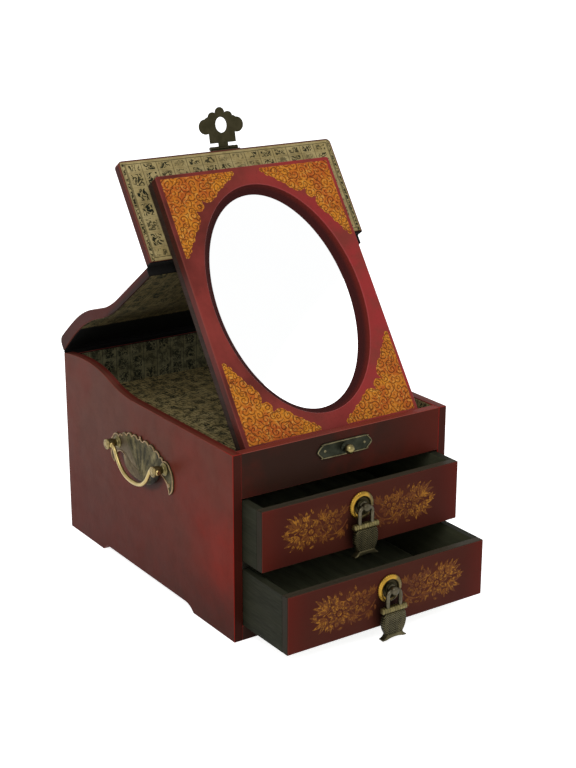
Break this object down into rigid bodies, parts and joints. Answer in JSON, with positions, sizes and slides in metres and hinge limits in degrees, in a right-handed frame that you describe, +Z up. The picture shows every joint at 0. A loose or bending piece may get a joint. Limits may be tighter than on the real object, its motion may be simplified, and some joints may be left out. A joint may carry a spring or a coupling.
{
  "type": "vanity box with mirror",
  "caption": "Lacquered vanity box with drawers, a hinged lid in leaves and an oval mirror that folds up from under the lid, with bail handles at the sides.",
  "frame": {"origin": "centre of the rectangle that the feet stand in, on the surface below", "axes": "+X to the right of someone facing the drawers, +Y to the back, +Z up; the drawers open towards -Y"},
  "size_m": [0.2252, 0.3407, 0.372],
  "materials": {
    "red_lacquer": "aged satin lacquer",
    "dark_lacquer": "aged satin lacquer",
    "drawer_lacquer": "aged satin lacquer with gilt pattern",
    "drawer_wood": "dark stain",
    "frame_lacquer": "satin lacquer with gilt pattern",
    "backboard": "satin lacquer",
    "printed_paper": "aged printed paper",
    "mirror_glass": "silvered glass",
    "antique_brass": "aged, rubbed",
    "gilt_brass": "aged gilt",
    "dark_bronze": "dark patina"
  },
  "bodies": {
    "case": {"side_panel_left": "red_lacquer", "side_panel_right": "red_lacquer", "front_fascia": "dark_lacquer", "front_rail": "red_lacquer", "back_panel": "red_lacquer", "bottom_board": "dark_lacquer", "drawer_divider": "dark_lacquer", "compartment_floor": "dark_lacquer", "floor_lining": "printed_paper", "wall_lining_left": "printed_paper", "wall_lining_right": "printed_paper", "wall_lining_front": "printed_paper", "wall_lining_back": "printed_paper", "mirror_stop": "dark_lacquer", "mirror_ledge": "dark_lacquer", "front_plate": "antique_brass", "catch_knob": "antique_brass", "rear_hinge_case_leaves": "dark_bronze", "left_handle_plate": "antique_brass", "right_handle_plate": "antique_brass", "left_handle_posts": "antique_brass", "right_handle_posts": "antique_brass"},
    "rear_lid": {"rear_lid_panel": "red_lacquer", "rear_lid_lining": "printed_paper", "rear_lid_strip": "dark_lacquer", "rear_hinge_lid_leaves": "dark_bronze", "mid_hinge_rear_leaves": "dark_bronze"},
    "front_flap": {"front_leaf": "red_lacquer", "front_leaf_lining": "printed_paper", "mid_hinge_front_leaves": "dark_bronze", "mirror_frame": "frame_lacquer", "mirror_backboard": "backboard", "mirror_glass": "mirror_glass", "hasp_leaf": "dark_bronze"},
    "hasp": {"hasp_plate": "dark_bronze"},
    "upper_drawer": {"upper_drawer_front": "drawer_lacquer", "upper_drawer_left": "drawer_wood", "upper_drawer_right": "drawer_wood", "upper_drawer_back": "drawer_wood", "upper_drawer_bottom": "drawer_wood", "upper_drawer_rosette": "gilt_brass", "upper_drawer_eye": "antique_brass"},
    "lower_drawer": {"lower_drawer_front": "drawer_lacquer", "lower_drawer_left": "drawer_wood", "lower_drawer_right": "drawer_wood", "lower_drawer_back": "drawer_wood", "lower_drawer_bottom": "drawer_wood", "lower_drawer_rosette": "gilt_brass", "lower_drawer_eye": "antique_brass"},
    "upper_pull": {"upper_drawer_pendant": "antique_brass"},
    "lower_pull": {"lower_drawer_pendant": "antique_brass"},
    "left_handle": {"left_bail": "antique_brass"},
    "right_handle": {"right_bail": "antique_brass"}
  },
  "joints": [
    {"name": "rear_lid_hinge", "type": "hinge", "parent": "case", "child": "rear_lid", "pos_m": [0, 0.1357, 0.1604], "axis": [-1, 0, 0], "range_deg": [0, 66]},
    {"name": "flap_hinge", "type": "hinge", "parent": "rear_lid", "child": "front_flap", "pos_m": [0, -0.01518, 0.26522], "axis": [-1, 0, 0], "range_deg": [-88, 0]},
    {"name": "hasp_hinge", "type": "hinge", "parent": "front_flap", "child": "hasp", "pos_m": [0, 0.03322, 0.34007], "axis": [-1, 0, 0], "range_deg": [-67.5, 110]},
    {"name": "upper_drawer_slide", "type": "slide", "parent": "case", "child": "upper_drawer", "axis": [0, -1, 0], "range_m": [-0.0256, 0.184]},
    {"name": "lower_drawer_slide", "type": "slide", "parent": "case", "child": "lower_drawer", "axis": [0, -1, 0], "range_m": [-0.0586, 0.151]},
    {"name": "upper_pull_swing", "type": "hinge", "parent": "upper_drawer", "child": "upper_pull", "pos_m": [-0.0025, -0.1656, 0.0981], "axis": [-1, 0, 0], "range_deg": [-3, 140]},
    {"name": "lower_pull_swing", "type": "hinge", "parent": "lower_drawer", "child": "lower_pull", "pos_m": [0, -0.1986, 0.0421], "axis": [-1, 0, 0], "range_deg": [-3, 140]},
    {"name": "left_bail_swing", "type": "hinge", "parent": "case", "child": "left_handle", "pos_m": [-0.109, 0.0014, 0.1085], "axis": [0, 1, 0], "range_deg": [-14, 155]},
    {"name": "right_bail_swing", "type": "hinge", "parent": "case", "child": "right_handle", "pos_m": [0.109, 0.0014, 0.1085], "axis": [0, -1, 0], "range_deg": [-14, 155]}
  ],
  "couplings": [
    {"joint": "flap_hinge", "follows": "rear_lid_hinge", "ratio": -1.33}
  ]
}
